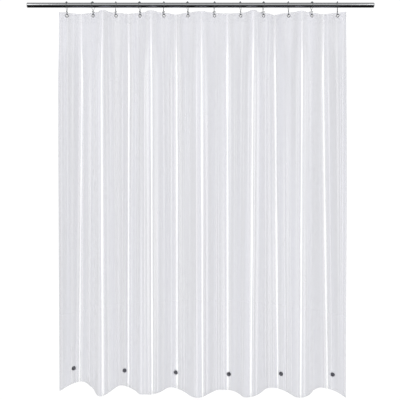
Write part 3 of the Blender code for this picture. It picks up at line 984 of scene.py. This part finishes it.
class CURTAIN_OT_hooks(bpy.types.Operator):
    """Roller hooks: bent wires with ball tips, and five loose balls on each"""

    bl_idname = "curtain.hooks"
    bl_label = "Hooks"

    def execute(self, context):
        made = settings("hardware")
        chrome = chrome_material("hook_chrome", made.hook_chrome, 0.14, (900.0, 900.0, 900.0))
        hook = HookPath()
        path, radii = hook.wire()
        for index in range(HOOKS):
            body = "curtain" if index == 0 else f"hook_{index + 1:02d}"
            rollers = "lead_rollers" if index == 0 else body
            name = f"hook_{index + 1:02d}"
            matrix = hook.matrix(index)
            work = sweep(path, radii, WIRE_SIDES)
            work.transform(matrix)
            wire = mesh_object(f"{name}_wire_bent", work)
            finish_piece(wire, chrome, body, "hook_steel", f"{name}_wire")
            step = made.ball / hook.radius
            for ball in range(made.balls):
                angle = step * (ball - (made.balls - 1) / 2)
                place = Matrix.Translation(hook.loop(angle)) @ Matrix.Rotation(-angle, 4, "X")
                bead = self.bead(made)
                bead.transform(matrix @ place @ Matrix.Rotation(math.pi / 2, 4, "X"))
                thing = mesh_object(f"{name}_ball_{ball + 1}", bead, 40)
                finish_piece(thing, chrome, rollers, "hook_steel", f"{name}_rollers")
        return {"FINISHED"}

    def bead(self, made):
        """A ball drilled through, with the drill's small chamfers."""
        radius = made.ball / 2 * BALL_FIT
        bore = made.wire / 2 + BALL_BORE
        start = math.asin((bore + 0.00025) / radius)
        angles = [start + turn for turn in arc(BALL_STEPS, math.pi - 2 * start)]
        profile = [(radius * math.sin(a), radius * math.cos(a)) for a in angles]
        lip = profile[0][1] - BALL_CHAMFER
        return turned(profile + [(bore, -lip), (bore, lip)], 24, True)


class CURTAIN_OT_grommets(bpy.types.Operator):
    """Metal eyelets crimped through the film and the header band"""

    bl_idname = "curtain.grommets"
    bl_label = "Grommets"

    def execute(self, context):
        film = settings("film")
        metal = chrome_material(
            "grommet_nickel", settings("hardware").grommet_steel, 0.20, (500.0, 500.0, 500.0)
        )
        for index in range(HOOKS):
            name = f"grommet_{index + 1:02d}"
            heading = film.heading * hook_side(index)
            centre = node_centre(name)
            centre.y = 0.0
            centre.x = HANG_X[index]
            turn = Matrix.Rotation(heading, 4, "Z") @ Matrix.Rotation(-math.pi / 2, 4, "X")
            work = self.eyelet()
            work.transform(Matrix.Translation(centre) @ turn)
            thing = mesh_object(f"{name}_crimped", work, 50)
            body = "curtain" if index == 0 else f"hook_{index + 1:02d}"
            finish_piece(thing, metal, body, "grommet_steel", name)
        return {"FINISHED"}

    def eyelet(self):
        """Domed near flange rolled into the barrel, and the washer on the far side."""
        middle = (GROMMET_HOLE + GROMMET_RIM) / 2
        half = (GROMMET_RIM - GROMMET_HOLE) / 2
        barrel = GROMMET_HOLE + GROMMET_BARREL
        dome, crimp = [], []
        for turn in arc(8):
            bulge = GROMMET_DOME * math.sin(turn)
            dome.append((middle - half * math.cos(turn), GROMMET_NEAR - bulge))
        for turn in arc(6):
            bulge = GROMMET_CRIMP * math.sin(turn)
            crimp.append((middle + half * math.cos(turn), GROMMET_FAR + bulge))
        return turned(dome + [(barrel, GROMMET_NEAR), (barrel, GROMMET_FAR)] + crimp, 48, True)


class CURTAIN_OT_film(bpy.types.Operator):
    """The clear film, hanging in waves with packing creases and ripples"""

    bl_idname = "curtain.film"
    bl_label = "Film"

    def execute(self, context):
        film = settings("film")
        shape = FilmShape()
        clear = film_material("clear_vinyl", 1.0, 1.0)
        rows = film_rows(film.height)
        thing = sheet_object("film", shape, film_columns(), rows, 0.0)
        finish_piece(thing, clear, "curtain", "film", "film_sheet")
        gather(thing)
        band = sheet_object(
            "header_film", shape, film_columns(), film_rows(film.header_height), -HEADER_LIFT
        )
        stiff = film_material("header_vinyl", HEADER_COVER, 0.0)
        finish_piece(band, stiff, "curtain", "film", "header_band")
        gather(band)
        return {"FINISHED"}


def gather(thing):
    """Gives a film piece a mesh of its own."""
    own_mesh(thing)


class CURTAIN_OT_magnets(bpy.types.Operator):
    """Hem magnets, each under a round patch welded to the film"""

    bl_idname = "curtain.magnets"
    bl_label = "Magnets"

    def execute(self, context):
        shape = FilmShape()
        dark = ferrite_material()
        clear = patch_material()
        for index in range(MAGNETS):
            name = f"magnet_{index + 1}"
            centre, axis = node_centre(name), magnet_axis(name)
            low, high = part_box(name)
            radius = (high.z - low.z) / 2
            half, soft = MAGNET_HALF, MAGNET_EDGE
            profile = [(0.0, -half), (radius - soft, -half), (radius, soft - half)]
            profile += [(radius, half - soft), (radius - soft, half), (0.0, half)]
            work = turned(profile, 64, False)
            turn = axis.to_track_quat("Z", "Y").to_matrix().to_4x4()
            work.transform(Matrix.Translation(centre) @ turn)
            thing = mesh_object(f"{name}_pressed", work, 30)
            finish_piece(thing, dark, f"hem_magnet_{index + 1}", "magnet", name)
            patch = self.patch(f"magnet_patch_{index + 1}_welded", shape, centre, radius)
            finish_piece(
                patch, clear, f"hem_magnet_{index + 1}", "film", f"magnet_patch_{index + 1}"
            )
        return {"FINISHED"}

    def patch(self, name, shape, centre, radius):
        """Round film laid over the magnet and welded to the liner round it."""
        low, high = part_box("magnet_patch_1")
        rim = (high.z - low.z) / 2
        work = bmesh.new()
        start = work.verts.new((0.0, 0.0, 0.0))
        rings = [rim * i / PATCH_RINGS for i in range(1, PATCH_RINGS + 1)]
        points = [start] + [work.verts.new((reach, 0.0, 0.0)) for reach in rings]
        edges = [work.edges.new((a, b)) for a, b in zip(points, points[1:])]
        bmesh.ops.spin(
            work, geom=points + edges, axis=(0, 0, 1), cent=(0, 0, 0),
            angle=2 * math.pi, steps=64, use_merge=True,
        )
        bmesh.ops.remove_doubles(work, verts=work.verts, dist=1e-6)
        across = np.array([v.co.x for v in work.verts])
        up = np.array([v.co.y for v in work.verts])
        reach = np.hypot(across, up)
        gap, slope = PATCH_SLOPE
        lift = PATCH_LIFT + PATCH_RISE * (1 - smooth_step((reach - radius - gap) / slope))
        flat = shape.flat_at(centre.x, centre.z) + across
        places = shape.places(flat, centre.z + up, lift)
        for vertex, point in zip(work.verts, places):
            vertex.co = point
        bmesh.ops.recalc_face_normals(work, faces=work.faces)
        thing = mesh_object(name, work)
        wall = thing.modifiers.new("wall", "SOLIDIFY")
        wall.thickness = PATCH_WALL
        wall.offset = 0.0
        return thing


def patch_material():
    """Clear patch film, a little whiter in random patches."""
    finish = settings("film_finish")
    nodes = material_nodes("patch_vinyl")
    place = nodes.object_place()
    haze = nodes.noise(place, 160.0, 2.0, 0.5)
    nodes.put("Base Color", nodes.mix(haze, finish.tint, [min(c * 1.5, 1.0) for c in finish.tint]))
    nodes.put("Alpha", nodes.ramp(haze, 0.3, 0.7, 0.04, 0.08))
    nodes.put("Roughness", nodes.ramp(haze, 0.3, 0.7, 0.20, 0.32))
    nodes.put("IOR", 1.50)
    nodes.bump(nodes.noise(place, 900.0, 2.0, 0.5), 0.00003)
    return nodes.owner


class CURTAIN_OT_stage(bpy.types.Operator):
    """Camera, pale floor and soft light"""

    bl_idname = "curtain.stage"
    bl_label = "Stage"

    def execute(self, context):
        stage = settings("stage")
        self.camera(context, stage)
        self.world(context)
        self.floor(stage)
        self.lights()
        return {"FINISHED"}

    def camera(self, context, stage):
        data = bpy.data.cameras.new("camera")
        data.sensor_width = 36.0
        data.lens = data.sensor_width * stage.distance / stage.frame_width
        data.shift_y = stage.shift
        holder = bpy.data.objects.new("camera", data)
        holder.location = (CAMERA_X, -stage.distance, -stage.eye_drop)
        holder.rotation_euler = (math.pi / 2, 0.0, 0.0)
        context.scene.collection.objects.link(holder)
        context.scene.camera = holder

    def world(self, context):
        """White to look at, an even glow to matt surfaces, and bands for gloss to mirror."""
        nodes = NodeTree(bpy.data.worlds.new("studio"))
        sight = nodes.node("ShaderNodeLightPath")

        def background(made, strength, shade):
            made.inputs["Color"].default_value = (*shade, 1.0)
            made.inputs["Strength"].default_value = strength
            return made

        def choose(ray, otherwise, chosen):
            made = nodes.node("ShaderNodeMixShader")
            nodes.link(sight.outputs[ray], made.inputs["Fac"])
            nodes.link(otherwise.outputs[0], made.inputs[1])
            nodes.link(chosen.outputs[0], made.inputs[2])
            return made

        shown = background(nodes.tree.nodes["Background"], WHITE, (1.0, 1.0, 1.0))
        glow = background(nodes.node("ShaderNodeBackground"), GLOW, (0.98, 0.99, 1.0))
        mirrored = nodes.node("ShaderNodeBackground")
        nodes.link(self.bands(nodes), mirrored.inputs["Color"])
        last = choose("Is Camera Ray", choose("Is Glossy Ray", glow, mirrored), shown)
        nodes.link(last.outputs[0], nodes.tree.nodes["World Output"].inputs["Surface"])
        context.scene.world = nodes.owner
        context.scene.view_settings.view_transform = "Standard"

    def bands(self, nodes):
        """Brightness that gloss mirrors at each elevation."""
        parts = nodes.node("ShaderNodeSeparateXYZ")
        nodes.link(nodes.node("ShaderNodeTexCoord").outputs["Generated"], parts.inputs[0])
        height = nodes.math("MULTIPLY", nodes.math("ADD", parts.outputs["Z"], 1.0), 0.5)
        ramp = nodes.node("ShaderNodeValToRGB")
        ramp.color_ramp.interpolation = "EASE"
        nodes.link(height, ramp.inputs["Fac"])
        stops = ramp.color_ramp.elements
        while len(stops) < len(MIRRORED):
            stops.new(0.5)
        for stop, (elevation, value) in zip(stops, MIRRORED):
            stop.position = (math.sin(math.radians(elevation)) + 1) / 2
            stop.color = (value, value, value * 1.01, 1)
        return ramp.outputs["Color"]

    def floor(self, stage):
        """Round pale floor that fades into the white behind it."""
        work = bmesh.new()
        bmesh.ops.create_circle(work, cap_ends=True, segments=96, radius=FLOOR_RADIUS)
        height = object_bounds()[0].z - stage.floor_drop
        work.transform(Matrix.Translation((0.0, 0.0, height)))
        floor = mesh_object("floor", work)
        nodes = material_nodes("pale_floor")
        place = nodes.object_place()
        reach = nodes.node("ShaderNodeVectorMath", operation="LENGTH")
        nodes.link(place, reach.inputs[0])
        fade = nodes.ramp(reach.outputs["Value"], *FLOOR_FADE)
        grain = nodes.noise(place, 30.0, 3.0, 0.5)
        pale = nodes.mix(grain, (0.94, 0.94, 0.94), (0.96, 0.96, 0.96))
        nodes.put("Base Color", nodes.mix(fade, pale, (0.0, 0.0, 0.0)))
        nodes.put("Emission Color", nodes.mix(fade, (0.0, 0.0, 0.0), (1.0, 1.0, 1.0)))
        nodes.put("Emission Strength", WHITE)
        nodes.put("Roughness", 0.8)
        nodes.put("Specular IOR Level", 0.0)
        floor.data.materials.append(nodes.owner)
        floor.visible_glossy = False
        floor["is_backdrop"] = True

    def lights(self):
        """Large soft boxes in front, one on each side."""
        for name, place, aim, size, power in LIGHTS:
            data = bpy.data.lights.new(name, "AREA")
            data.shape = "RECTANGLE"
            data.size, data.size_y = size
            data.energy = power
            holder = bpy.data.objects.new(name, data)
            holder.location = place
            look = Vector(aim) - Vector(place)
            holder.rotation_euler = look.to_track_quat("-Z", "Y").to_euler()
            bpy.context.scene.collection.objects.link(holder)


class CURTAIN_PT_panel(bpy.types.Panel):
    """Buttons for the curtain's pieces"""

    bl_label = "Shower Curtain"
    bl_idname = "CURTAIN_PT_panel"
    bl_space_type = "VIEW_3D"
    bl_region_type = "UI"
    bl_category = "Curtain"

    def draw(self, context):
        for operator in OPERATORS:
            self.layout.operator(operator.bl_idname)
        for name, kind in SETTINGS:
            box = self.layout.box()
            for key in kind.__annotations__:
                box.prop(settings(name), key)


OPERATORS = (
    CURTAIN_OT_rod,
    CURTAIN_OT_hooks,
    CURTAIN_OT_grommets,
    CURTAIN_OT_film,
    CURTAIN_OT_magnets,
    CURTAIN_OT_stage,
)
CLASSES = tuple(kind for _, kind in SETTINGS) + OPERATORS + (CURTAIN_PT_panel,)


def register():
    for kind in CLASSES:
        bpy.utils.register_class(kind)
    for name, kind in SETTINGS:
        setattr(bpy.types.Scene, f"curtain_{name}", PointerProperty(type=kind))


def unregister():
    for name, _ in SETTINGS:
        delattr(bpy.types.Scene, f"curtain_{name}")
    for kind in reversed(CLASSES):
        bpy.utils.unregister_class(kind)


def main():
    register()
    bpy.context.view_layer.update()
    bpy.ops.curtain.stage()
    bpy.ops.curtain.rod()
    bpy.ops.curtain.hooks()
    bpy.ops.curtain.grommets()
    bpy.ops.curtain.film()
    bpy.ops.curtain.magnets()


if __name__ == "__main__":
    main()
